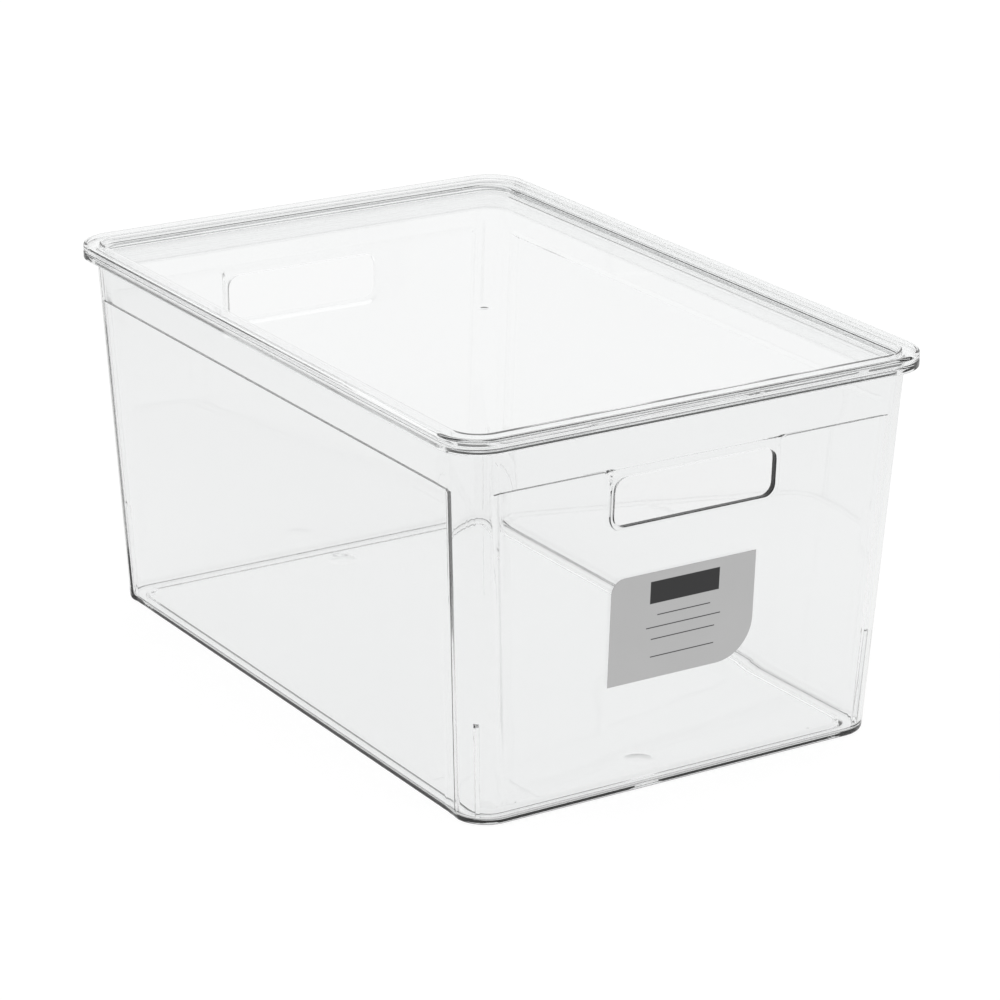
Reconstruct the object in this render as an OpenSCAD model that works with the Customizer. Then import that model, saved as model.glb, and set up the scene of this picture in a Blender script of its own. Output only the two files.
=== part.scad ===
// Clear moulded storage box: a drafted tub with two hand holes and a lift-off lid.
// The origin is at the middle of the foot, with the long side along X and up along Z.

/* [Overall] */
// Length across the rims
box_l = 385; // [365:1:420]
// Width across the rims
box_w = 265; // [250:1:300]
// Height with the lid on
box_h = 195; // [180:1:225]

/* [Rims] */
// Corner radius of the tub's flange and the lid's rim, seen from above
rim_r = 21; // [19.5:0.5:24]
// How far the rims stand out past the walls
rim_overhang = 6; // [5:0.5:7.5]
// Height of the tub's flange edge
flange_h = 4; // [3:0.5:5]
// Height of the lid's rim edge
lip_h = 4; // [3.5:0.5:5]
// Width of the lid's downturned lip
lip_t = 2; // [1.6:0.1:2.4]

/* [Tub walls] */
// Wall thickness
wall_t = 2.2; // [1.8:0.1:2.6]
// Outside corner radius of the walls
corner_r = 17.5; // [14:0.5:19]
// Lean of the two short walls, in degrees
end_draft = 2.4; // [1.5:0.1:3]
// Lean of the two long walls, in degrees
side_draft = 3.2; // [2:0.1:4]
// Height of the plain band between the flange and the sunk panels
band_h = 21.5; // [18:0.5:30]
// How far the wall panels are sunk
panel_d = 1.5; // [0.8:0.1:1.8]
// Radius of the panels' upper corners
panel_r = 4; // [2:0.5:8]
// Flat left on each corner post, beside its round
post_flat = 1; // [0.5:0.1:2]

/* [Hand holes] */
// Length of each hole
hole_l = 90; // [80:1:110]
// Height of each hole
hole_h = 24; // [20:1:30]
// Corner radius of the holes
hole_r = 6; // [4:0.5:8]
// Gap from the band down to the hole
hole_drop = 4.5; // [3:0.5:8]
// Width of the raised frame round the hole
frame_w = 2.5; // [2:0.1:4]

/* [Base] */
// Rounding of the foot's outer edge
foot_r = 2; // [1:0.2:2.6]
// Floor thickness
floor_t = 2.2; // [1.8:0.1:2.6]
// How far the middle of the floor is stepped up
step_h = 1.2; // [0.6:0.1:1.8]
// Width of the ring that the tub stands on
ring_w = 11; // [8:0.5:14]
// Diameter of the two shallow moulding dimples in the floor
gate_d = 20; // [14:1:24]
// Distance of each dimple from the middle, along the box
gate_x = 153; // [120:1:155]
// Distance of each dimple from the middle, across the box
gate_y = 8; // [0:1:12]

/* [Corner ribs] */
// Height of the four ribs that keep nested tubs apart
rib_top = 57; // [40:1:70]
// Thickness of the ribs
rib_t = 2.2; // [1.6:0.1:2.6]

/* [Lid] */
// Depth of the recess in the lid's top
recess_d = 8.5; // [7:0.5:10]
// Thickness of the lid's flat middle
lid_t = 2; // [1.6:0.1:2.4]
// Width of the lid's flat rim, from its outer edge to the recess
rim_w = 9; // [8.5:0.1:10]
// Lean of the recess wall over its height
recess_lean = 1.8; // [1:0.1:2.2]
// Corner radius of the recess, at its upper edge
recess_r = 13.5; // [12:0.5:15]
// Gap between the lid's plug and the tub's walls
plug_gap = 0.4; // [0.3:0.05:0.6]
// Diameter of the moulding mark in the middle of the lid
mark_d = 8; // [5:0.5:12]

/* [Label] */
// Width of the label on one short wall
label_w = 81.5; // [60:0.5:90]
// Height of the label
label_h = 54; // [40:1:60]
// Height of the label's lower edge above the foot
label_z = 56.5; // [50:0.5:65]
// Distance of the label's middle from the wall's middle
label_shift = -3.3; // [-6:0.1:6]
// Thickness of the label
label_t = 0.25; // [0.2:0.05:0.4]

/* [Hidden] */
clear = [0.9, 0.93, 0.94, 0.45];
past = 5; // how far a cut runs past the face that it opens
rim_x = box_l / 2;
rim_y = box_w / 2;
tub_h = box_h - lip_h;
under_flange = tub_h - flange_h;
panel_top = under_flange - band_h;
foot_x = rim_x - rim_overhang - under_flange * tan(end_draft);
foot_y = rim_y - rim_overhang - under_flange * tan(side_draft);
floor_z = floor_t + step_h;
arc_steps = 10;
mouth_r = 2;
flange_edge_r = 0.8;
floor_edge_r = 2.5;
step_slope = 0.6;
step_r = 10;
gate_deep = 0.8;
rib_end_r = 3;
rib_reach = corner_r - wall_t - 1.3;
lid_edge_r = 1.5;
recess_edge_r = 1.5;
recess_brim_r = 0.8;
channel_top = box_h - 2;
plug_slope = 0.25;
plug_low = box_h - recess_d - lid_t;
mark_deep = 0.4;
label_small_r = 7;
label_big_r = 20;

// Outer half length of the wall at height z, before the panels are sunk
function wall_x(z) = foot_x + z * tan(end_draft);
// Outer half width of the wall at height z
function wall_y(z) = foot_y + z * tan(side_draft);

// Points of an arc of radius r about c, from angle a0 to a1
function arc(c, r, a0, a1, n = arc_steps) =
    [for (i = [0:n]) c + r * [cos(a0 + (a1 - a0) * i / n), sin(a0 + (a1 - a0) * i / n)]];

// Outline of a rounded rectangle with half sizes x and y
function round_rect(x, y, r) = concat(
    arc([x - r, y - r], r, 0, 90), arc([r - x, y - r], r, 90, 180),
    arc([r - x, r - y], r, 180, 270), arc([x - r, r - y], r, 270, 360));

// One level of a loft: a rounded rectangle at height z
function level(x, y, r, z) = [for (p = round_rect(x, y, r)) [p[0], p[1], z]];

// One level of the wall at height z, drawn in from the outer face by inset
function wall_level(z, inset) =
    level(wall_x(z) - inset, wall_y(z) - inset, corner_r - inset, z);

// One level of the rims, drawn in from the outer edge by inset
function rim_level(z, inset) = level(rim_x - inset, rim_y - inset, rim_r - inset, z);

// Rise and inset of each level that rounds a lower edge of radius r by a quarter circle
function low_edge(r, n = 4) =
    [for (i = [0:n]) [r * (1 - cos(90 * i / n)), r * (1 - sin(90 * i / n))]];

// Drop and inset of each level that rounds an upper edge of radius r, from below to the top
function high_edge(r, n = 4) =
    [for (i = [0:n]) [r * (1 - sin(90 * i / n)), r * (1 - cos(90 * i / n))]];

// Solid through a stack of levels that all have the same number of points
module loft(levels) {
    n = len(levels[0]);
    last = len(levels) - 1;
    sides = [for (k = [0:last - 1], i = [0:n - 1])
        [k * n + i, (k + 1) * n + i, (k + 1) * n + (i + 1) % n, k * n + (i + 1) % n]];
    polyhedron(
        points = [for (l = levels, p = l) p],
        faces = concat(sides, [[for (i = [0:n - 1]) i]], [[for (i = [n - 1:-1:0]) last * n + i]]));
}

// Prism of the rounded rectangle, with true round corners
module round_prism(x, y, r, h) {
    linear_extrude(h) {
        square([2 * x - 2 * r, 2 * y], center = true);
        square([2 * x, 2 * y - 2 * r], center = true);
        for (sx = [-1, 1], sy = [-1, 1])
            translate([sx * (x - r), sy * (y - r)]) circle(r, $fn = 48);
    }
}

// Places children on the outer face of a short wall: Y across, Z up along the lean
module on_end(side) {
    mirror([side < 0 ? 1 : 0, 0, 0])
        translate([foot_x, 0, 0])
            rotate([0, end_draft, 0]) children();
}

// Places children on the outer face of a long wall: X across, Z up along the lean
module on_side(side) {
    mirror([0, side > 0 ? 1 : 0, 0])
        translate([0, -foot_y, 0])
            rotate([side_draft, 0, 0]) children();
}

// Outline of a sunk panel between two corner posts, open at the foot
module panel_outline(half_low, half_top, top) {
    lean = (half_top - half_low) / top;
    polygon(concat(
        [[past * lean - half_low, -past], [half_low - past * lean, -past]],
        arc([half_top - panel_r, top - panel_r], panel_r, 0, 90),
        arc([panel_r - half_top, top - panel_r], panel_r, 90, 180)));
}

// Outline of the raised frame that joins the band above it
module frame_outline(top) {
    half = hole_l / 2 + frame_w;
    r = hole_r + frame_w / 2;
    low = top - hole_drop - hole_h - frame_w;
    polygon(concat(
        [[half, top + past], [-half, top + past]],
        arc([r - half, low + r], r, 180, 270),
        arc([half - r, low + r], r, 270, 360)));
}

// Slabs over the panels of both short walls, from past the outer face to depth inside it
module end_panels(depth, framed) {
    top = panel_top / cos(end_draft);
    low = foot_y - corner_r - post_flat;
    high = wall_y(panel_top) - corner_r - post_flat;
    for (side = [-1, 1]) on_end(side)
        translate([-depth, 0, 0]) rotate([90, 0, 90])
            linear_extrude(depth + past) difference() {
                panel_outline(low, high, top);
                if (framed) frame_outline(top);
            }
}

// The same slabs over the panels of both long walls
module side_panels(depth) {
    top = panel_top / cos(side_draft);
    low = foot_x - corner_r - post_flat;
    high = wall_x(panel_top) - corner_r - post_flat;
    for (side = [-1, 1]) on_side(side)
        translate([0, depth, 0]) rotate([90, 0, 0])
            linear_extrude(depth + past) panel_outline(low, high, top);
}

// The tub's outer form, before the panels are sunk
module tub_body() {
    loft(concat(
        [for (e = low_edge(foot_r)) wall_level(e[0], e[1])],
        [wall_level(tub_h, 0)]));
    loft(concat(
        [for (e = low_edge(flange_edge_r, 3)) rim_level(under_flange + e[0], e[1])],
        [rim_level(tub_h, 0)]));
}

// The space inside the tub, with a rounded floor edge and a flared mouth
module tub_cavity() {
    difference() {
        loft(concat(
            [for (e = low_edge(floor_edge_r)) wall_level(floor_t + e[0], wall_t + e[1])],
            [for (e = high_edge(mouth_r, 3)) wall_level(tub_h - e[0], wall_t - e[1])],
            [wall_level(tub_h + 1, wall_t - mouth_r)]));
        end_panels(panel_d + wall_t, false);
        side_panels(panel_d + wall_t);
        floor_step();
    }
}

// The middle of the floor, stepped up inside with a sloped edge
module floor_step() {
    x = foot_x - ring_w;
    y = foot_y - ring_w;
    foot = level(x + step_slope, y + step_slope, step_r + step_slope, floor_t);
    loft([[for (p = foot) p - [0, 0, 1]], foot, level(x, y, step_r, floor_z)]);
}

// The matching recess under the floor, inside the ring that the tub stands on
module foot_recess() {
    translate([0, 0, -1]) round_prism(foot_x - ring_w - 1, foot_y - ring_w - 1, step_r - 1, step_h + 1);
}

// Four ribs on the corners' diagonals, upright on their inner edge, with rounded tops
module corner_ribs() {
    intersection() {
        for (sx = [-1, 1], sy = [-1, 1])
            mirror([sx < 0 ? 1 : 0, 0, 0]) mirror([0, sy < 0 ? 1 : 0, 0])
                translate([foot_x - corner_r, foot_y - corner_r, 0]) rotate([0, 0, 45])
                    translate([corner_r - wall_t, rib_t / 2, 0]) rotate([90, 0, 0])
                        linear_extrude(rib_t) polygon(concat(
                            [[0, floor_t - 1], [rib_reach, floor_t - 1], [rib_reach, rib_top]],
                            arc([rib_end_r, rib_top - rib_end_r], rib_end_r, 90, 180, 6)));
        loft([wall_level(floor_t / 2, wall_t / 2), wall_level(rib_top + 1, wall_t / 2)]);
    }
}

// The hand holes, cut straight through the leaning short walls
module hand_holes() {
    middle = panel_top / cos(end_draft) - hole_drop - hole_h / 2;
    depth = panel_d + wall_t + past;
    for (side = [-1, 1]) on_end(side)
        translate([-depth, 0, middle]) rotate([90, 0, 90])
            round_prism(hole_l / 2, hole_h / 2, hole_r, depth + past);
}

// The dimples that the moulding gates leave in the floor
module floor_dimples() {
    for (s = [-1, 1])
        translate([s * gate_x, -s * gate_y, floor_z - gate_deep]) cylinder(d = gate_d, h = past, $fn = 48);
}

// The tub: drafted walls with sunk panels under a plain band, and the flange round its mouth
module tub() {
    color(clear) difference() {
        union() {
            difference() {
                tub_body();
                end_panels(panel_d, true);
                side_panels(panel_d);
                tub_cavity();
            }
            corner_ribs();
        }
        foot_recess();
        floor_dimples();
        hand_holes();
    }
}

// How far the plug's outer face is drawn in from the rim's edge at height z
function plug_inset(z) = rim_overhang + wall_t + plug_gap + (tub_h - mouth_r - z) * plug_slope;

// One level of the plug, whose corners are concentric with the tub's
function plug_level(z, inset) = let (i = plug_inset(z) + inset)
    level(rim_x - i, rim_y - i, corner_r + rim_overhang - i, z);

// One level of the recess in the lid's top
function recess_level(z, inset) = let (i = rim_w + inset)
    level(rim_x - i, rim_y - i, recess_r - inset, z);

// The recess, with a rounded floor edge and an eased upper edge
module lid_recess() {
    loft(concat(
        [for (e = low_edge(recess_edge_r)) recess_level(box_h - recess_d + e[0], recess_lean + e[1])],
        [for (e = high_edge(recess_brim_r, 3)) recess_level(box_h - e[0], -e[1])],
        [recess_level(box_h + 1, -recess_brim_r)]));
}

// The outer form of the lid's rim, flat on top with a rounded edge
module lid_rim() {
    loft(concat(
        [rim_level(tub_h, 0)],
        [for (e = high_edge(lid_edge_r)) rim_level(box_h - e[0], e[1])]));
}

// The space between the downturned lip and the plug, filled by the plug where it stands
module lid_channel() {
    translate([0, 0, tub_h - 1])
        round_prism(rim_x - lip_t, rim_y - lip_t, rim_r - lip_t, channel_top - tub_h + 1);
}

// The lid: a downturned rim that sits on the flange, and a plug whose top is the recess
module lid() {
    color(clear) difference() {
        union() {
            difference() {
                lid_rim();
                lid_channel();
            }
            loft(concat(
                [for (e = low_edge(1)) plug_level(plug_low + e[0], e[1])],
                [plug_level(channel_top + 1, 0)]));
        }
        lid_recess();
        translate([0, 0, box_h - recess_d - mark_deep]) cylinder(d = mark_d, h = past, $fn = 48);
    }
}

// The label: two square corners, one small round corner and one large one
module label() {
    low = label_z / cos(end_draft);
    high = low + label_h;
    left = label_shift - label_w / 2;
    right = label_shift + label_w / 2;
    color([0.66, 0.66, 0.66]) on_end(1)
        translate([-panel_d, 0, 0]) rotate([90, 0, 90])
            linear_extrude(label_t) polygon(concat(
                [[left, low]],
                arc([right - label_big_r, low + label_big_r], label_big_r, 270, 360),
                [[right, high]],
                arc([left + label_small_r, high - label_small_r], label_small_r, 90, 180)));
}

tub();
lid();
label();
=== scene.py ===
# %% [markdown]
# # A clear storage box with a lift-off lid
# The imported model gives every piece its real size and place. This lesson dresses it: the tub and the lid
# are made again as smooth moulded shells whose walls have their true thickness, because a clear piece shows
# every facet and every wall behind it. Sizes below are in millimetres until a mesh is made.

# %% Load the frame
from collections import namedtuple
from math import atan2, cos, pi, radians, sin, tan

import bmesh
import bpy
import numpy as np
from mathutils import Matrix, Vector
from mathutils.geometry import delaunay_2d_cdt


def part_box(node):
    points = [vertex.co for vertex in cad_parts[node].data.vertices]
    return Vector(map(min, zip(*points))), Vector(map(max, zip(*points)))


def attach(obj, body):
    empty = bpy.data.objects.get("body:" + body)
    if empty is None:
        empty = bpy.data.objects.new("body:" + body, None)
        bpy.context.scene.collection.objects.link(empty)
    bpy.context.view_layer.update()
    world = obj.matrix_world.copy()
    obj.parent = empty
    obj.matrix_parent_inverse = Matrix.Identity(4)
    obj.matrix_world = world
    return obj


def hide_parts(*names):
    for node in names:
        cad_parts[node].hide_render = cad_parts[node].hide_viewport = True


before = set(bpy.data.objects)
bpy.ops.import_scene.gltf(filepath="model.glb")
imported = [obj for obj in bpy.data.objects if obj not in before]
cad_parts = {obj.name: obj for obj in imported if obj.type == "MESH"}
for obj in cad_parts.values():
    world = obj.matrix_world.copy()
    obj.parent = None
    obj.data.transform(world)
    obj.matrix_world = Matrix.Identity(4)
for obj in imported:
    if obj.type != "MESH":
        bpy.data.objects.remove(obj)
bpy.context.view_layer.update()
MM = 0.001
tub_low, tub_high = (np.array(corner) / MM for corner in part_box("tub"))
lid_low, lid_high = (np.array(corner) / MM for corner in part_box("lid"))
rim_x, rim_y = tub_high[0], tub_high[1]
tub_h, box_h = tub_high[2], lid_high[2]
print(f"tub {2 * rim_x:.1f} x {2 * rim_y:.1f} x {tub_h:.1f} mm, lid from {lid_low[2]:.1f} to {box_h:.1f} mm")

# %% [markdown]
# ## The camera
# The photograph was taken from in front of the corner, a little above the box, with a long lens. Its place
# was found from the straight edges of the box, so it is written down here in real units: where the camera
# stands, where it looks, and how long its lens is on a sensor 36 mm wide.

# %% Set the camera
camera_at = Vector((1.5579, -0.9813, 0.7502))
camera_yaw, camera_pitch, camera_roll = radians(-32.478), radians(19.841), radians(0.537)
lens_mm = 139.77
forward = Vector((-cos(camera_yaw) * cos(camera_pitch), -sin(camera_yaw) * cos(camera_pitch), -sin(camera_pitch)))
camera_data = bpy.data.cameras.new("camera")
camera_data.lens, camera_data.sensor_width = lens_mm, 36
camera = bpy.data.objects.new("camera", camera_data)
turn = forward.to_track_quat("-Z", "Y").to_matrix() @ Matrix.Rotation(camera_roll, 3, "Z")
camera.matrix_world = Matrix.Translation(camera_at) @ turn.to_4x4()
bpy.context.scene.collection.objects.link(camera)
bpy.context.scene.camera = camera
print("camera looks along", [round(x, 4) for x in forward], "right", [round(x, 4) for x in turn.col[0]])

# %% [markdown]
# ## Writing materials as arithmetic
# A pattern is easiest to read as a formula. `Value` wraps one output of a node and turns Python's operators
# into Math nodes, and `Finish` holds a material and adds any other node.

# %% A small language for shaders
class Value:
    """One output in a material. Arithmetic on it adds Math nodes."""

    def __init__(self, finish, socket):
        self.finish, self.socket = finish, socket

    def maths(self, operation, *others):
        inputs = dict(enumerate((self, *others)))
        return self.finish.add("ShaderNodeMath", {"operation": operation}, inputs)

    def __add__(self, other):
        return self.maths("ADD", other)

    def __sub__(self, other):
        return self.maths("SUBTRACT", other)

    def __rsub__(self, other):
        return self.maths("MULTIPLY", -1.0).maths("ADD", other)

    def __mul__(self, other):
        return self.maths("MULTIPLY", other)

    __radd__, __rmul__ = __add__, __mul__


class Finish:
    """A material while it is made. add() takes a node's type, its settings, and its inputs' values or links."""

    def __init__(self, tree):
        self.tree = tree
        self.tree.nodes.clear()

    def add(self, kind, settings=None, inputs=None, output=0):
        node = self.tree.nodes.new(kind)
        for name, value in (settings or {}).items():
            setattr(node, name, value)
        for name, value in (inputs or {}).items():
            if isinstance(value, Value):
                self.tree.links.new(value.socket, node.inputs[name])
            else:
                node.inputs[name].default_value = value
        return Value(self, node.outputs[output]) if len(node.outputs) else None

    def position(self):
        """The three Object coordinates, in metres."""
        place = self.add("ShaderNodeTexCoord", output="Object")
        split = self.add("ShaderNodeSeparateXYZ", inputs={"Vector": place}).socket.node
        return place, [Value(self, split.outputs[i]) for i in range(3)]

    def noise(self, place, scale, detail=2.0, roughness=0.5):
        inputs = {"Vector": place, "Scale": scale, "Detail": detail, "Roughness": roughness}
        return self.add("ShaderNodeTexNoise", inputs=inputs)

    def colour_mix(self, mask, low, high):
        node = self.add("ShaderNodeMix", {"data_type": "RGBA"}, {"Factor": mask}).socket.node
        node.inputs[6].default_value = low
        node.inputs[7].default_value = high
        return Value(self, node.outputs[2])


def new_material(name):
    """An empty material and the Finish that fills it."""
    material = bpy.data.materials.new(name)
    material.use_nodes = True
    return material, Finish(material.node_tree)


# %% [markdown]
# ## Clear moulded plastic
# Clear styrene is not quite perfect: the surface rolls by a few hundredths of a millimetre where the melt
# cooled, which bends the reflections, and it has a fine haze from handling. Both are noise on the Object
# coordinates. The bend of light is constant, so it is set on the shader itself.

# %% The clear finish
def clear_plastic(name, tint, wave_depth, loss_per_metre):
    """Transmission with a rolling bump of wave_depth metres, a faint haze, and a little light lost on the way."""
    material, finish = new_material(name)
    place, _ = finish.position()
    rolling = finish.noise(place, 14.0, detail=1.0)
    pitting = finish.noise(place, 900.0, detail=2.0)
    height = rolling + pitting * 0.004
    normal = finish.add("ShaderNodeBump", inputs={"Strength": 1.0, "Distance": wave_depth, "Height": height})
    haze = finish.noise(place, 60.0, detail=3.0)
    shader = finish.add("ShaderNodeBsdfPrincipled", inputs={
        "Base Color": tint, "Roughness": haze * 0.03, "IOR": 1.58,
        "Transmission Weight": 1.0, "Normal": normal})
    loss = finish.add("ShaderNodeVolumeAbsorption", inputs={"Color": (0, 0, 0, 1), "Density": loss_per_metre})
    finish.add("ShaderNodeOutputMaterial", inputs={"Surface": shader, "Volume": loss})
    return material


tub_plastic = clear_plastic("clear_tub_plastic", (0.985, 0.99, 0.99, 1), 0.00012, 2.5)
lid_plastic = clear_plastic("clear_lid_plastic", (0.985, 0.99, 0.99, 1), 0.0001, 1.5)
print("clear finishes made")

# %% [markdown]
# ## Shapes of the wall
# All levels of the tub are rounded rectangles. A level is given by its inset from the wall's outer face and
# its height, and the wall leans, by different angles on the short and the long sides. Where a panel is sunk,
# the inset grows by the panel's depth across a narrow step with two small fillets.

# %% Sizes read off the photograph, in millimetres
rim_overhang, flange_h, wall_t = 6.0, 4.0, 2.2
corner_r, rim_corner_r = 17.5, 21.0
end_draft, side_draft = radians(2.4), radians(3.2)
band_h, panel_d, panel_r, ramp_edge, wide_edge, crisp_edge = 21.5, 1.5, 2.2, -1.0, 3.0, 0.6
fade_h, crisp_h = 60.0, (75, 120)
hole_half, hole_h, hole_r, hole_drop, frame_w = 45.0, 24.0, 6.0, 4.5, 2.5
under_flange = tub_h - flange_h
panel_top = under_flange - band_h
foot_x = rim_x - rim_overhang - under_flange * tan(end_draft)
foot_y = rim_y - rim_overhang - under_flange * tan(side_draft)
hole_top = panel_top - hole_drop
hole_low = hole_top - hole_h
floor_t, step_h, ring_w, plateau_r = 2.2, 1.2, 11.0, 10.0
band_thin, thin_h = 0.6, (168, 184)
floor_z = floor_t + step_h
print(f"foot {2 * foot_x:.1f} x {2 * foot_y:.1f}, panels up to {panel_top:.1f}, holes {hole_low:.1f} to {hole_top:.1f}")


def wall_half(z, foot, draft):
    """Half size of the wall's outer face at height z, upright above the flange's underside."""
    return foot + np.minimum(z, under_flange) * tan(draft)


def level_radius(inset):
    """Corner radius of a level: the flange's outside, the wall's, and at last the floor's plateau."""
    return np.interp(inset, [-rim_overhang, 0, 3.7, ring_w, ring_w + 3],
                     [rim_corner_r, corner_r, corner_r - 3.7, plateau_r, plateau_r - 3])


# %% The steps at a panel's edges
def step_profile(fillet, slope, steps=5):
    """Where a step runs and how deep it is: a fillet, a straight slope and a fillet, about its own middle."""
    arc = np.linspace(0, slope, steps)
    run, drop = fillet * np.sin(arc), fillet * (1 - np.cos(arc))
    half = run[-1] + (panel_d - 2 * drop[-1]) / tan(slope) / 2
    return np.concatenate([run - half, half - run[::-1]]), np.concatenate([drop, panel_d - drop[::-1]]) / panel_d


CRISP_AT, CRISP_SHARE = step_profile(0.25, radians(80))
SOFT_AT, SOFT_SHARE = step_profile(1.5, radians(30))
RAMP_AT, RAMP_SHARE = step_profile(4.0, radians(22))
WIDE_AT, WIDE_SHARE = step_profile(12.0, radians(7))


def ledge(distance, far):
    """0 above a ledge and 1 below it. Those of the two far walls are softer."""
    return np.where(far, np.interp(distance, SOFT_AT, SOFT_SHARE), np.interp(distance, CRISP_AT, CRISP_SHARE))


def inside_corner(p, q, radius):
    """Distance inside a corner of the given radius whose two edges are p and q away."""
    in_corner = (p < radius) & (q < radius)
    return np.where(in_corner, radius - np.hypot(radius - p, radius - q), np.minimum(p, q))


def smooth(low, high, value):
    """0 below low and 1 above high, along an even curve."""
    t = np.clip((value - low) / (high - low), 0, 1)
    return t * t * (3 - 2 * t)


def panel_share(edge_gap, z, place_on):
    """How far the wall is sunk, from 0 to 1: a ledge along the top times a gentle ramp at the side. A short panel
    comes out to the posts' level at the foot, and a long one turns a crisp corner at the label's post."""
    top = ledge(panel_top - z, place_on.far)
    narrow = np.interp(edge_gap - ramp_edge, RAMP_AT, RAMP_SHARE)
    wide = np.interp(edge_gap - wide_edge, WIDE_AT, WIDE_SHARE)
    share = top * np.where(place_on.far & np.logical_not(place_on.short) | place_on.crisp_end, wide, narrow)
    share = share * np.where(place_on.short, smooth(0, fade_h, z), 1)
    corner = ledge(inside_corner(edge_gap - crisp_edge, panel_top - z, panel_r), False)
    crisp = (0.12 + 0.88 * smooth(*crisp_h, z)) * place_on.crisp_end
    return share + crisp * (corner - share)


def frame_distance(across, z):
    """Distance outside the hand hole's frame, whose top runs into the band."""
    r = hole_r + frame_w
    p, q = np.abs(across) - (hole_half + frame_w) + r, (hole_low - frame_w - z) + r
    return np.hypot(np.maximum(p, 0), np.maximum(q, 0)) + np.minimum(np.maximum(p, q), 0) - r


def round_foot(rise, radius):
    """Inset of a quarter circle that rounds a lower edge, at a rise above the face."""
    left = np.clip(radius - rise, 0, radius)
    return radius - np.sqrt(radius ** 2 - left ** 2)


# %% [markdown]
# ## Grid lines round the tub
# The tub's surface is one grid. Its columns go round the tub and its rows go along the wall's section, from
# under the floor, over the flange, to the floor's upper side. Columns stand close together where the panel
# steps in, and follow the wall's lean, because each is held either to its side's end or to its middle.

# %% Columns: where they stand on a side, at a corner and beside a rib
TOP_LINES = np.unique(np.concatenate([CRISP_AT, SOFT_AT, [2.4, 4.0]]).round(2))
GAPS = ramp_edge + np.concatenate([[-3.4], RAMP_AT, [3.4, 5.0, 7.0, 9.0, 11.0]])
CRISP_GAPS = np.unique(np.concatenate([GAPS, crisp_edge + CRISP_AT, [-0.4, 1.7, 2.2, 2.9]]).round(2))
HOLE_LINES = np.array([0, 8, 16, 24, 31, 37, 41, 43.5, 44.8, 45.8, 46.7, 47.6, 48.5, 49.4, 50.5])
PATCH_GAP = HOLE_LINES[-1] - hole_half
SHORT_MIDDLE = np.concatenate([-HOLE_LINES[:0:-1], HOLE_LINES])
SHORT_MIDDLE = np.concatenate([[-85, -68], SHORT_MIDDLE, [68, 85]])
LONG_MIDDLE = np.linspace(-140, 140, 9)
rib_half = 1.1
RIB_LINES = np.array([-1.7, -1.4, -1.16, -1.06, -0.85, -0.5, 0, 0.5, 0.85, 1.06, 1.16, 1.4, 1.7])


def side_columns(turn, middle, gaps_start, gaps_end):
    """Columns of one side: rows of (turn, held to the end, offset along the side, rib offset)."""
    start = [(turn, -1.0, e, np.nan) for e in (0.0, *gaps_start[gaps_start > 0.05])]
    mid = [(turn, 0.0, m, np.nan) for m in middle]
    end = [(turn, 1.0, -e, np.nan) for e in (*gaps_end[gaps_end > 0.05][::-1], 0.0)]
    return start + mid + end


def arc_angles(gaps, steps=10):
    """Angles from a side's end to the rib: close ones in the panel's edge, then even ones."""
    rib_angle = RIB_LINES[-1] / (corner_r - wall_t)
    close = -gaps[gaps < -0.05][::-1] / corner_r
    return np.concatenate([close[:-1], np.linspace(close[-1], pi / 4 - rib_angle, steps)[:-1]])


def corner_columns(turn, gaps_before, gaps_after):
    """Columns of the corner that follows a side: an arc, with close lines at its middle for the rib."""
    before = [(turn + a, 2.0, 0.0, 0.0) for a in arc_angles(gaps_before)]
    rib = [(turn + pi / 4, 2.0, 0.0, line) for line in RIB_LINES]
    after = [(turn + pi / 2 - a, 2.0, 0.0, 0.0) for a in arc_angles(gaps_after)[::-1]]
    return before + rib + after


COLUMNS = []
for k in range(4):
    crisp_here = CRISP_GAPS if k == 3 else GAPS
    COLUMNS += side_columns(k * pi / 2, LONG_MIDDLE if k % 2 else SHORT_MIDDLE, GAPS, crisp_here)
    COLUMNS += corner_columns(k * pi / 2, crisp_here, GAPS)
COLUMNS = np.array(COLUMNS)
col_turn, col_hold, col_along, col_rib = COLUMNS.T
quarter = np.floor(col_turn / (pi / 2) + 1e-9)
on_corner = col_hold == 2.0
on_rib = on_corner & (np.abs(col_turn - quarter * pi / 2 - pi / 4) < 1e-9)
wall_of = (quarter + (on_corner & (col_turn - quarter * pi / 2 > pi / 4))) % 4
label_post = (quarter == 3) & ((on_corner & (wall_of == 3)) | (~on_corner & (col_hold == 1)))
Place = namedtuple("Place", "short far crisp_end")
around = Place(wall_of % 2 == 0, (wall_of == 1) | (wall_of == 2), label_post)
print(len(COLUMNS), "columns round the tub")


def place(half_x, half_y, radius):
    """Plan positions of all columns, for a level with these half sizes and corner radius, shape (rows, columns)."""
    spine_x, spine_y = half_x - radius, half_y - radius
    turn0 = quarter * pi / 2
    out0, out1 = np.cos(turn0), np.sin(turn0)
    reach_out = np.where(quarter % 2 == 0, spine_x, spine_y)
    reach_on = np.where(quarter % 2 == 0, spine_y, spine_x)
    lateral = np.nan_to_num(col_rib) * np.minimum(1, radius / (corner_r - wall_t))
    along = np.where(on_corner, reach_on, col_hold * reach_on + col_along)
    radial = np.sqrt(np.maximum(radius ** 2 - lateral ** 2, 0))
    nx, ny = np.cos(col_turn), np.sin(col_turn)
    x = out0 * reach_out - out1 * along + nx * radial - ny * lateral
    y = out1 * reach_out + out0 * along + ny * radial + nx * lateral
    arc_gap = -corner_r * np.minimum(col_turn - turn0, turn0 + pi / 2 - col_turn)
    edge_gap = np.where(on_corner, arc_gap, reach_on - np.abs(along))
    return x, y, edge_gap, along


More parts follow.
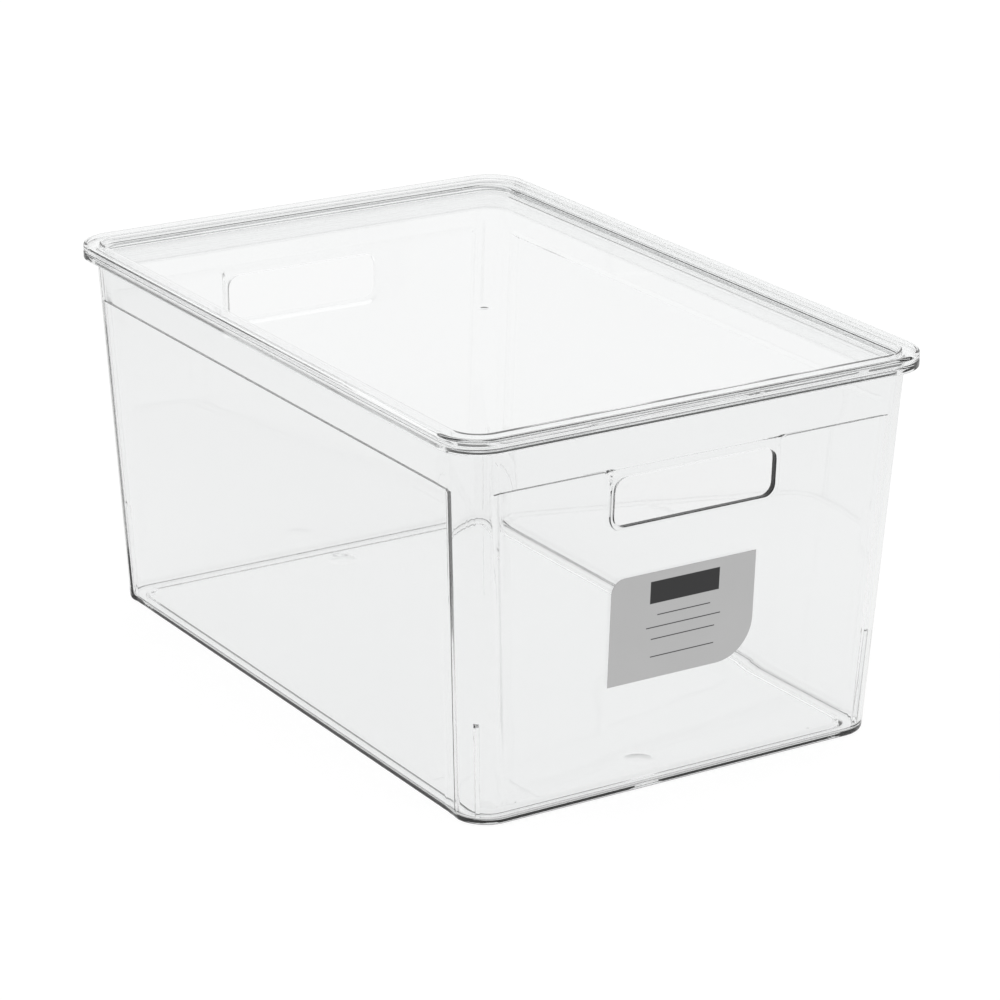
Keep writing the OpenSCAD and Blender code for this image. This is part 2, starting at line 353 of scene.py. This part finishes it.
# %% Rows: the wall's section as a path with fillets
def fillet_path(corners, steps=5):
    """Points along straight runs whose corners, rows of (inset, height, radius), become arcs of their radius."""
    out = [corners[0][:2]]
    for before, here, after in zip(corners, corners[1:], corners[2:]):
        a, p, b = (np.array(c[:2], float) for c in (before, here, after))
        to_a, to_b = (a - p) / np.linalg.norm(a - p), (b - p) / np.linalg.norm(b - p)
        half = np.arccos(np.clip(to_a @ to_b, -1, 1)) / 2
        if here[2] == 0 or half > pi / 2 - 1e-3:
            out.append(p)
            continue
        centre = p + (to_a + to_b) / np.linalg.norm(to_a + to_b) * here[2] / sin(half)
        first = p + to_a * here[2] / tan(half) - centre
        last = p + to_b * here[2] / tan(half) - centre
        swing = pi - 2 * half
        out += [centre + (first * sin((1 - t) * swing) + last * sin(t * swing)) / sin(swing)
                for t in np.linspace(0, 1, steps + 1)]
    out.append(corners[-1][:2])
    return np.array(out, float)


hole_rows = hole_low - PATCH_GAP + np.array([0, 1, 2, 3.1, 4.3, 5.5, 6.8, 8.2, 11, 14.5, 18, 21.5, 24.5, 27])
top_rows = panel_top - TOP_LINES[::-1]
PATCH_TOP = hole_top + PATCH_GAP
wall_rows = np.concatenate([[6, 14, 30, 60, 90, 115], hole_rows, top_rows, [PATCH_TOP, 170, 178, 184]])
wall_rows = np.unique(wall_rows.round(6))
rib_top, rib_end_r = 52.0, 4.0
rib_rows = rib_top - rib_end_r * (1 - np.sin(np.linspace(0, pi / 2, 7)))
inner_rows = np.unique(np.concatenate([wall_rows, [10, 20, 40, 50], rib_rows, [rib_top + 0.06, rib_top + 0.6]]).round(6))
inner_rows = inner_rows[inner_rows > 5.5]
foot_r, floor_edge_r, mouth_r = 2.0, 2.5, 2.0
lap = 0.1
under = fillet_path([(15, step_h, 0), (13.4, step_h, 1.2), (11.4, 0, 1.2), (0, 0, foot_r), (0, 4, 0)])
over = fillet_path([(0, under_flange - 2, 0), (0, under_flange, 0.8), (-rim_overhang, under_flange, 0.9),
                    (-rim_overhang, tub_h - lap, 1.0), (wall_t, tub_h - lap, mouth_r), (wall_t, 186, 0)], steps=6)
floor = fillet_path([(wall_t, 5.4, 0), (wall_t, floor_t, floor_edge_r), (ring_w - 2.2, floor_t, 1.5),
                     (ring_w + 0.6, floor_z, 1.5), (ring_w + 3, floor_z, 0)])
outer_wall = np.stack([0 * wall_rows, wall_rows], 1)
inner_wall = np.stack([wall_t + 0 * inner_rows, inner_rows], 1)[::-1]
section = np.concatenate([under, outer_wall, over, inner_wall, floor])
row_inset, row_z = section.T
side_of = np.concatenate([np.zeros(len(under) + len(outer_wall)), np.ones(len(over)), np.full(len(inner_wall) + len(floor), 2)])
print(len(section), "rows along the section")

# %% [markdown]
# ## The tub
# The grid is computed as whole arrays. The panels move the outer and the inner face together, so the wall
# keeps its thickness, but the frame round each hand hole stays out on the outer face only. The ribs are the
# inner face drawn in at the corners, upright where the wall leans away.

# %% Insets of the outer and the inner face
def outer_inset(inset, z, edge_gap, across, place_on):
    """Inset of the outer face. across is the distance from the short wall's middle, where a frame may stand."""
    share = panel_share(edge_gap, z, place_on) * ledge(frame_distance(across, z), place_on.far)
    return inset + share * (panel_d + round_foot(z, 0.8) - inset)


def inner_inset(inset, z, edge_gap, place_on):
    """Inset of the inner face: tighter at the floor under a panel, and the near walls' band is a little thinner."""
    share = panel_share(edge_gap, z, place_on)
    wide = np.interp(edge_gap - wide_edge, WIDE_AT, WIDE_SHARE) * (1 - smooth(*thin_h, z))
    thin = band_thin * wide * np.where(place_on.far, 0, 1 - ledge(panel_top - z, place_on.far))
    return inset - thin + share * (wall_t + panel_d + round_foot(z - floor_t, 1.0) - inset)


def rib_inset(z):
    """Inset of a rib's upright edge: it stands still while the leaning wall moves away, and ends in an arc."""
    lean = z * (tan(end_draft) + tan(side_draft)) / np.sqrt(2)
    over_arc = np.clip(z - (rib_top - rib_end_r), 0, rib_end_r)
    depth = lean - (rib_end_r - np.sqrt(rib_end_r ** 2 - over_arc ** 2))
    return wall_t + np.where(z > rib_top + 0.01, 0, np.maximum(depth, 0))


def tub_grid():
    """Positions of the tub's grid, in millimetres, shape (rows, columns, 3)."""
    inset, z, face = row_inset[:, None], row_z[:, None], side_of[:, None]
    half_x, half_y = wall_half(z, foot_x, end_draft), wall_half(z, foot_y, side_draft)
    radius = level_radius(inset)
    _, _, edge_gap, along = place(half_x - inset, half_y - inset, radius)
    short = (quarter % 2 == 0) & ~on_corner
    framed = np.where(short, np.abs(along), 1e3)
    outer = (face == 0) & (inset <= 2.05)
    inner = (face == 2) & (z <= 186) & (inset <= wall_t + floor_edge_r + 1e-6)
    new = np.where(outer, outer_inset(inset, z, edge_gap, framed, around), inset + 0 * edge_gap)
    new = np.where(inner, inner_inset(inset, z, edge_gap, around), new)
    rib_share = np.interp(np.abs(col_rib), [0, 0.85, 1.06, 1.16], [1, 1, 0.9, 0])
    rib = wall_t + (rib_inset(z) - wall_t) * np.where(on_rib, rib_share, 0)
    new = np.where((face == 2) & (z < rib_top + 0.5) & on_rib & (z > floor_t + 0.1), np.maximum(new, rib), new)
    x, y, _, _ = place(half_x - new, half_y - new, level_radius(inset) - (new - inset))
    return np.stack([x, y, z + 0 * x], 2)


grid = tub_grid()
print("tub grid", grid.shape, "from", grid.min((0, 1)).round(2), "to", grid.max((0, 1)).round(2))

# %% Turning grids into faces
def grid_faces(rows, columns, closed=True, keep=None):
    """Quads of a grid, as rows of four point numbers. keep says which quads stay."""
    i, j = np.meshgrid(np.arange(rows - 1), np.arange(columns if closed else columns - 1), indexing="ij")
    if keep is not None:
        i, j = i[keep], j[keep]
    k = (j + 1) % columns
    return np.stack([i * columns + j, i * columns + k, (i + 1) * columns + k, (i + 1) * columns + j], -1).reshape(-1, 4)


def flat_region(outline, holes):
    """Points and triangles of the flat region inside outline and outside the holes, all (n, 2) loops."""
    loops = [outline, *holes]
    starts = np.cumsum([0] + [len(loop) for loop in loops])
    points = [Vector(p) for p in np.concatenate(loops)]
    edges = [(int(s + i), int(s + (i + 1) % len(loop))) for s, loop in zip(starts, loops) for i in range(len(loop))]
    made = delaunay_2d_cdt(points, edges, [], 1, 1e-9)
    flat, triangles = np.array([tuple(p) for p in made[0]]), np.array([t for t in made[2]])
    middle = flat[triangles].mean(1)
    inside = np.ones(len(triangles), bool)
    for hole in holes:
        centre, reach = hole.mean(0), np.linalg.norm(hole - hole.mean(0), axis=1).mean()
        inside &= np.linalg.norm(middle - centre, axis=1) > reach * 0.999
    return flat, triangles[inside]


def make_piece(name, parts, material, body, sharp=55):
    """A closed mesh welded from (points in mm, faces) parts, smooth but for edges sharper than the angle."""
    points = np.concatenate([p.reshape(-1, 3) for p, _ in parts]) * MM
    starts = np.cumsum([0] + [p.size // 3 for p, _ in parts])
    faces = [face for (_, fs), s in zip(parts, starts) for face in (np.asarray(fs) + s).tolist()]
    mesh = bpy.data.meshes.new(name)
    mesh.from_pydata(points.tolist(), [], faces)
    shape = bmesh.new()
    shape.from_mesh(mesh)
    bmesh.ops.remove_doubles(shape, verts=shape.verts, dist=0.004 * MM)
    bmesh.ops.dissolve_degenerate(shape, edges=shape.edges, dist=0.001 * MM)
    bmesh.ops.recalc_face_normals(shape, faces=shape.faces)
    open_edges = sum(not e.is_manifold for e in shape.edges)
    shape.to_mesh(mesh)
    shape.free()
    mesh.polygons.foreach_set("use_smooth", [True] * len(mesh.polygons))
    mesh.set_sharp_from_angle(angle=radians(sharp))
    mesh.materials.append(material)
    piece = bpy.data.objects.new(name, mesh)
    bpy.context.scene.collection.objects.link(piece)
    weighted = piece.modifiers.new("flat faces stay flat", "WEIGHTED_NORMAL")
    weighted.keep_sharp = True
    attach(piece, body)
    print(name, len(mesh.polygons), "faces,", open_edges, "open edges")
    return piece


# %% [markdown]
# ## Round the hand holes
# A rounded hole does not fit a square grid, so a rectangle of the wall is left out on both faces and filled
# by rings. Each ring starts on the rectangle, closes in on the hole's outline, goes round its eased edge,
# through the wall, and out again on the inner face.

# %% The rings of one hand hole
def outline_point(share, side):
    """Point and outward normal of the hole's outline: side 0 to 3, share 0 to 1 between two corners' middles."""
    half_a, half_b = (hole_half, hole_h / 2) if side % 2 == 0 else (hole_h / 2, hole_half)
    straight, arc = 2 * (half_a - hole_r), hole_r * pi / 4
    run = share * (straight + 2 * arc) - arc - straight / 2
    over = np.sign(run) * np.maximum(np.abs(run) - straight / 2, 0) / hole_r
    u = np.clip(run, -straight / 2, straight / 2) + hole_r * np.sin(over)
    v = half_b - hole_r + hole_r * np.cos(over)
    nu, nv = np.sin(over), np.cos(over)
    spin = np.array([[1, 0], [0, 1]]) if side == 0 else np.array(
        {1: [[0, -1], [1, 0]], 2: [[-1, 0], [0, -1]], 3: [[0, 1], [-1, 0]]}[side])
    return np.stack([u, v], -1) @ spin, np.stack([nu, nv], -1) @ spin


border_y = SHORT_MIDDLE[np.abs(SHORT_MIDDLE) <= HOLE_LINES[-1]]
border_z = np.unique(np.concatenate([hole_rows, top_rows, [PATCH_TOP]]).round(6))
border_z = border_z[(border_z >= hole_low - PATCH_GAP - 1e-6) & (border_z <= PATCH_TOP + 1e-6)]
hole_mid = (hole_top + hole_low) / 2


def hole_rings(ledge_at):
    """Rings of (across, height) round the hole by their distance from its outline, shape (rings, around, 2)."""
    up_y, up_z = border_y[:-1], border_z[:-1]
    border = np.concatenate([
        np.stack([up_y, np.full(len(up_y), PATCH_TOP)], 1),
        np.stack([np.full(len(up_z), HOLE_LINES[-1]), border_z[::-1][:-1]], 1),
        np.stack([border_y[::-1][:-1], np.full(len(up_y), hole_low - PATCH_GAP)], 1),
        np.stack([np.full(len(up_z), -HOLE_LINES[-1]), up_z], 1)])
    share_y = (up_y + HOLE_LINES[-1]) / (2 * HOLE_LINES[-1])
    share_z = (border_z - border_z[0]) / (border_z[-1] - border_z[0])
    runs = [share_y, (1 - share_z)[::-1][:-1], share_y, share_z[:-1]]
    found = [outline_point(run, side) for side, run in enumerate(runs)]
    edge = np.concatenate([p for p, _ in found]) + [0, hole_mid]
    normal = np.concatenate([n for _, n in found])
    near = 3.4
    lines = np.concatenate([hole_drop + ledge_at, frame_w + ledge_at, [3.6, 1.4, 1.0]])
    distances = np.unique([0.8, PATCH_GAP, *lines[(lines > 0.85) & (lines < PATCH_GAP - 0.1)].round(2)])[::-1]
    d = distances[:, None, None]
    offset = edge + normal * np.minimum(d, near)
    blend = np.clip((d - near) / (PATCH_GAP - near), 0, 1)
    return distances, offset + (border - offset) * blend, edge, normal


def hole_patch(sign):
    """The rings on both faces and through the wall, for the short wall on the side of sign."""
    place_on = Place(True, sign < 0, False)
    distances, rings, edge, normal = hole_rings(SOFT_AT if sign < 0 else CRISP_AT)
    ease = 0.8
    bend = np.linspace(0, pi / 2, 6)[1:, None, None]
    turned = edge + normal * ease * (1 - np.sin(bend))
    half_y = wall_half(rings[..., 1], foot_y, side_draft) - corner_r
    gap = half_y - np.abs(rings[..., 0])
    out = outer_inset(0 * gap, rings[..., 1], gap, np.abs(rings[..., 0]), place_on)
    inn = inner_inset(0 * gap + wall_t, rings[..., 1], gap, place_on)
    out_bend = 0 * turned[..., 0] + ease * (1 - np.cos(bend[..., 0]))
    inn_bend = wall_t + panel_d - out_bend
    plan = np.concatenate([rings, turned, turned[::-1], rings[::-1]])
    inset = np.concatenate([out, out_bend, inn_bend[::-1], inn[::-1]])
    x = wall_half(plan[..., 1], foot_x, end_draft) - inset
    return np.stack([sign * x, plan[..., 0], plan[..., 1]], -1)


# %% Leave the rectangles out of the grid and close the floor
def in_rectangle():
    """Which quads of the grid lie in the rectangle left out round each hole."""
    rows_in = (row_z >= hole_low - PATCH_GAP - 1e-6) & (row_z <= PATCH_TOP + 1e-6) & (np.abs(row_inset - 1.1) < 1.2)
    row_pair = rows_in[:-1] & rows_in[1:] & (side_of[:-1] == side_of[1:]) & (side_of[:-1] != 1)
    held_mid = (quarter % 2 == 0) & ~on_corner & (col_hold == 0) & (np.abs(col_along) <= HOLE_LINES[-1])
    return row_pair[:, None] & (held_mid & np.roll(held_mid, -1))[None, :]


def dimple(centre, radius, deep, top, steps=40):
    """A round dish: rings from its rim, over an eased edge, to a shallow middle. Returns its rim and its part."""
    turn = np.linspace(0, 2 * pi, steps, endpoint=False)
    share = np.array([1, 0.97, 0.93, 0.88, 0.8, 0.7, 0.6, 0.5, 0.4, 0.2, 0.05])
    r, z = share * radius, top - deep * smooth(0, 0.7, 1 - share)
    x, y = (centre[i] + r[:, None] * wave(turn)[None] for i, wave in enumerate((np.cos, np.sin)))
    points = np.stack([x, y, z[:, None] + 0 * x], -1)
    faces = grid_faces(len(r), steps).tolist() + [list(range((len(r) - 1) * steps, len(r) * steps))]
    return points[0, :, :2], (points.reshape(-1, 3), faces)


gate_d, gate_at, gate_deep = 20.0, (153.0, -8.0), 0.4
n_rows, n_columns = grid.shape[:2]
tub_parts = [(grid.reshape(-1, 3), grid_faces(n_rows, n_columns, keep=~in_rectangle()).tolist())]
for sign in (-1, 1):
    patch = hole_patch(sign)
    tub_parts.append((patch.reshape(-1, 3), grid_faces(*patch.shape[:2]).tolist()))
gates = [dimple((s * gate_at[0], s * gate_at[1]), gate_d / 2, gate_deep, floor_z) for s in (-1, 1)]
flat, triangles = flat_region(grid[-1, :, :2], [rim for rim, _ in gates])
tub_parts += [part for _, part in gates]
tub_parts.append((np.column_stack([flat, np.full(len(flat), floor_z)]), triangles.tolist()))
tub_parts.append((grid[0], [list(range(n_columns))]))


def mixed_parts(parts):
    """Parts whose faces may have different numbers of corners, split so that each holds one kind."""
    out = []
    for points, faces in parts:
        for size in sorted({len(f) for f in faces}):
            out.append((points, np.array([f for f in faces if len(f) == size])))
    return out


tub = make_piece("tub_shell", mixed_parts(tub_parts), tub_plastic, "tub")
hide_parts("tub")

# %% [markdown]
# ## The lid
# The lid is one section carried round: flat rim, rounded edge, downturned lip, the channel behind it, the
# plug that drops into the tub, and the recess in the top. Its corners are not all concentric: the rim's, the
# recess's and the plug's each have their own, so every row names where its corners are centred.

# %% The lid's section
rim_w, recess_d, recess_lean, recess_r, lid_t, lip_t = 9.0, 8.5, 1.8, 13.5, 2.0, 2.0
channel_top, plug_gap, plug_slope = box_h - 2.0, 0.4, 0.25
lip_low = tub_h + lap


def plug_inset(z):
    """Inset of the plug's outer face from the rim's edge."""
    return rim_overhang + wall_t + plug_gap + (tub_h - mouth_r - z) * plug_slope


recess_z, plug_z = box_h - recess_d, box_h - recess_d - lid_t
lid_section = fillet_path([
    (14, recess_z, 0), (rim_w + recess_lean, recess_z, 1.5), (rim_w, box_h, 0.8), (0, box_h, 1.5), (0, lip_low, 1.0),
    (lip_t, lip_low, 0.4), (lip_t, channel_top, 0.4), (plug_inset(channel_top), channel_top, 0.4),
    (plug_inset(plug_z), plug_z, 1.0), (14, plug_z, 0)], steps=6)


def lid_centre(inset, z):
    """How far in from the rim's edge the corners are centred: the rim's, the recess's or the plug's radius."""
    rim, recess, plug = rim_corner_r, recess_r + rim_w, corner_r + rim_overhang
    upper = np.interp(inset, [2, rim_w - 1], [rim, recess])
    lower = np.interp(inset, [lip_t, plug_inset(channel_top) - 0.4], [rim, plug])
    return np.where(z > channel_top + 0.5, upper, np.where((inset > rim_w) & (z > plug_z + 1.01), recess, lower))


def lid_grid(steps=32):
    """Positions of the lid's grid, in millimetres: rows along the section, columns round the corners."""
    inset, z = lid_section[:, :1], lid_section[:, 1:]
    centre = lid_centre(inset, z)
    centre[0], centre[-1] = recess_r + rim_w, corner_r + rim_overhang
    turn = np.concatenate([k * pi / 2 + np.linspace(0, pi / 2, steps) for k in range(4)])
    sx, sy = (np.repeat(s, steps) for s in ([1, -1, -1, 1], [1, 1, -1, -1]))
    x = sx * (rim_x - centre) + np.cos(turn) * (centre - inset)
    y = sy * (rim_y - centre) + np.sin(turn) * (centre - inset)
    return np.stack([x, y, z + 0 * x], -1)


lid_points = lid_grid()
mark_rim, mark_part = dimple((0.0, 0.0), 4.0, 0.12, recess_z)
flat, triangles = flat_region(lid_points[0, :, :2], [mark_rim])
lid_parts = [
    (lid_points.reshape(-1, 3), grid_faces(*lid_points.shape[:2]).tolist()), mark_part,
    (np.column_stack([flat, np.full(len(flat), recess_z)]), triangles.tolist()),
    (lid_points[-1], [list(range(lid_points.shape[1]))])]
lid = make_piece("lid_shell", mixed_parts(lid_parts), lid_plastic, "lid")
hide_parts("lid")

# %% [markdown]
# ## The label
# A thin grey sticker lies on the sunk panel under the hand hole. One corner is rounded a little and the one
# across from it a lot. Its print is a plain dark bar and a few ruled lines to write on.

# %% The sticker's finish
label_low, label_high = (np.array(corner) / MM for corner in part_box("label"))


def soft_box(finish, across, up, middle, size, edge=0.00012):
    """1 inside a rectangle on the label and 0 outside, by how far a point is from its sides, all in metres."""
    gap_a = (across - middle[0]).maths("ABSOLUTE") - size[0] / 2
    gap_b = (up - middle[1]).maths("ABSOLUTE") - size[1] / 2
    gap = gap_a.maths("MAXIMUM", gap_b)
    return (0.5 - gap * (0.5 / edge)).maths("MINIMUM", 1.0).maths("MAXIMUM", 0.0)


def sticker():
    """Grey satin film with a faint grain, and on its front alone a dark bar and ruled lines."""
    material, finish = new_material("sticker_print")
    place_at, (out, across, up) = finish.position()
    bar = soft_box(finish, across, up, (-0.00265, 0.1002), (0.0391, 0.0112))
    for height, length in ((0.0885, 0.030), (0.0825, 0.042), (0.0765, 0.036), (0.0675, 0.036)):
        line = soft_box(finish, across, up, (-0.0027, height), (length, 0.0005))
        bar = bar.maths("MAXIMUM", line)
    rise = out - up * tan(end_draft) - (foot_x - panel_d) * MM
    front = ((rise - 0.15 * MM) * (20 / MM)).maths("MINIMUM", 1.0).maths("MAXIMUM", 0.0)
    bar = bar * front
    grain = finish.noise(place_at, 2600.0, detail=2.0)
    mottle = finish.noise(place_at, 35.0, detail=2.0)
    paper = finish.colour_mix(mottle * 0.6 + grain * 0.4, (0.455, 0.455, 0.455, 1), (0.505, 0.505, 0.505, 1))
    ink = finish.add("ShaderNodeMix", {"data_type": "RGBA"}, {0: bar}).socket.node
    finish.tree.links.new(paper.socket, ink.inputs[6])
    ink.inputs[7].default_value = (0.012, 0.012, 0.013, 1)
    colour = Value(finish, ink.outputs[2])
    normal = finish.add("ShaderNodeBump", inputs={"Strength": 0.3, "Distance": 0.00002, "Height": grain})
    shader = finish.add("ShaderNodeBsdfPrincipled", inputs={
        "Base Color": colour, "Roughness": 0.42 + grain * 0.12, "Normal": normal})
    finish.add("ShaderNodeOutputMaterial", inputs={"Surface": shader})
    return material


# %% The sticker's shape
def label_outline(steps=14):
    """Outline in (across, height): square corners but for a small round one and a large one, anticlockwise."""
    left, right, low, high = label_low[1], label_high[1], label_low[2], label_high[2]
    corners = [((left, low), 0.3, pi), ((right, low), 20.0, 1.5 * pi), ((right, high), 0.3, 0), ((left, high), 7.0, pi / 2)]
    inward = [(1, 1), (-1, 1), (-1, -1), (1, -1)]
    loop = []
    for ((a, b), r, start), (ia, ib) in zip(corners, inward):
        turn = start + np.linspace(0, pi / 2, steps)
        loop.append(np.stack([a + ia * r + r * np.cos(turn), b + ib * r + r * np.sin(turn)], 1))
    return np.concatenate(loop)


def label_part():
    """Loops from the back, over a rounded edge, to the front, each the outline drawn in a little."""
    outline = label_outline()
    middle = outline.mean(0)
    reach = np.linalg.norm(outline - middle, axis=1, keepdims=True)
    inward = (middle - outline) / reach
    rise_in = [(0.02, 0.0), (0.17, 0.0), (0.23, 0.04), (0.25, 0.1), (0.25, 1.2)]
    loops = []
    for rise, drawn in rise_in:
        plan = outline + inward * drawn
        x = wall_half(plan[:, 1], foot_x, end_draft) - panel_d + rise
        loops.append(np.column_stack([x, plan]))
    points = np.array(loops)
    n = len(outline)
    faces = grid_faces(len(loops), n).tolist() + [list(range(n)), list(range((len(loops) - 1) * n, len(loops) * n))]
    return points.reshape(-1, 3), faces


label = make_piece("label_sticker", mixed_parts([label_part()]), sticker(), "tub", sharp=40)
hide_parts("label")

# %% [markdown]
# ## Floor, walls of the studio and light
# The box stands in a white studio. What the camera sees past the box is plain white, and what shines and
# bends in the plastic sees the same white behind the box and a dimmer room behind the camera, which gives
# the clear walls their tone and draws the dark lines along their edges. Along the foot's near edges a
# contact shadow is painted into the floor's glow.

# %% The studio
away = Vector((forward.x, forward.y, 0)).normalized()
aside = Vector((-away.y, away.x, 0)) * -1


def eased(finish, value, low, high, out_low, out_high):
    """A smooth step of a value from out_low to out_high."""
    return finish.add("ShaderNodeMapRange", {"interpolation_type": "SMOOTHSTEP"}, {
        "Value": value, "From Min": low, "From Max": high, "To Min": out_low, "To Max": out_high})


def along(finish, place_at, direction):
    """How far a place lies in a direction."""
    return finish.add("ShaderNodeVectorMath", {"operation": "DOT_PRODUCT"}, {0: place_at, 1: direction}, output="Value")


def inside_foot(x, y):
    """How far inside the foot's rounded outline a place is, from its distances to the two middle lines."""
    over_x = (x - (foot_x - corner_r) * MM).maths("MAXIMUM", 0.0)
    over_y = (y - (foot_y - corner_r) * MM).maths("MAXIMUM", 0.0)
    return corner_r * MM - (over_x * over_x + over_y * over_y).maths("SQRT")


def painted_foot_shadow(finish, x, y):
    """A contact shadow painted into the floor's glow, given as the share of glow left: nearly none under the edge of
    the foot on the two sides away from the light, and more and more of it further under the box."""
    covered = eased(finish, inside_foot(x.maths("ABSOLUTE"), y.maths("ABSOLUTE")), -0.4 * MM, 0.1 * MM, 0.0, 1.0)
    near = inside_foot(x, -1.0 * y)
    edge = eased(finish, near, 0.1 * MM, 0.8 * MM, 0.5, 0.05)
    ring = eased(finish, near, 1.8 * MM, 2.6 * MM, 0.0, 0.5)
    return 1 - covered * (edge + ring) * eased(finish, near, 4.5 * MM, 6.5 * MM, 1.0, 0.0)


def white_floor():
    """A pale floor a hair below the foot, so that two faces never lie in one plane. The camera sees it evenly
    white, and the glow that the plastic mirrors and bends of it is painted brightest at the box and dimmer on the
    camera's side, with a shadow painted under the near edges of the foot."""
    bpy.ops.mesh.primitive_plane_add(size=16, location=(0, 0, -0.0002))
    floor_piece = bpy.context.object
    floor_piece.name = "studio_floor"
    material, finish = new_material("studio_floor_paint")
    place_at, (place_x, place_y, _) = finish.position()
    speckle = finish.noise(place_at, 40.0)
    tone = finish.colour_mix(speckle, (0.14, 0.14, 0.14, 1), (0.15, 0.15, 0.15, 1))
    matt = finish.add("ShaderNodeBsdfDiffuse", inputs={"Color": tone})
    ahead, right = along(finish, place_at, away), along(finish, place_at, aside)
    seen = finish.add("ShaderNodeLightPath", output="Is Camera Ray")
    # painted light: the glow for mirrored and bent rays is brighter at the box and dimmer towards the camera's side
    room = (0.79 + eased(finish, ahead, 0.1, 0.35, 0.0, -0.03) + eased(finish, ahead, -0.6, -0.25, -0.1, 0.0)
            + eased(finish, right, 0.25, 0.6, 0.0, -0.05) + eased(finish, right, -0.7, -0.25, -0.1, 0.0))
    # painted shadow under the foot's near edges, multiplied into the glow that rays other than the camera's see
    shade = painted_foot_shadow(finish, place_x, place_y)
    strength = seen * 0.9 + (1 - seen) * room * shade
    glow = finish.add("ShaderNodeEmission", inputs={"Color": (1, 1, 1, 1), "Strength": strength})
    both = finish.add("ShaderNodeAddShader", inputs={0: matt, 1: glow})
    finish.add("ShaderNodeOutputMaterial", inputs={"Surface": both})
    floor_piece.data.materials.append(material)
    return floor_piece


white_floor()


def studio_world():
    """White where the camera looks, a soft room elsewhere: bright behind the box, dim behind the camera."""
    world = bpy.data.worlds.new("studio")
    bpy.context.scene.world = world
    world.use_nodes = True
    finish = Finish(world.node_tree)
    direction = finish.add("ShaderNodeTexCoord", output="Generated")
    facing, high = along(finish, direction, away), along(finish, direction, (0, 0, 1))
    room = eased(finish, facing, -0.5, 0.45, 0.6, 1.05) * eased(finish, high, 0.45, 0.9, 1.0, 0.85)
    rays = finish.add("ShaderNodeLightPath").socket.node
    seen = Value(finish, rays.outputs["Is Camera Ray"])
    bent = Value(finish, rays.outputs["Is Glossy Ray"]).maths("MAXIMUM", Value(finish, rays.outputs["Is Transmission Ray"]))
    strength = seen + (1 - seen) * (bent * room + (1 - bent) * 1.0)
    light = finish.add("ShaderNodeBackground", inputs={"Color": (1, 1, 1, 1), "Strength": strength})
    finish.add("ShaderNodeOutputWorld", inputs={"Surface": light})


studio_world()
scene = bpy.context.scene
scene.view_settings.view_transform = "Standard"
scene.cycles.max_bounces = 32
scene.cycles.transmission_bounces = 32
scene.cycles.glossy_bounces = 12
print("studio ready")
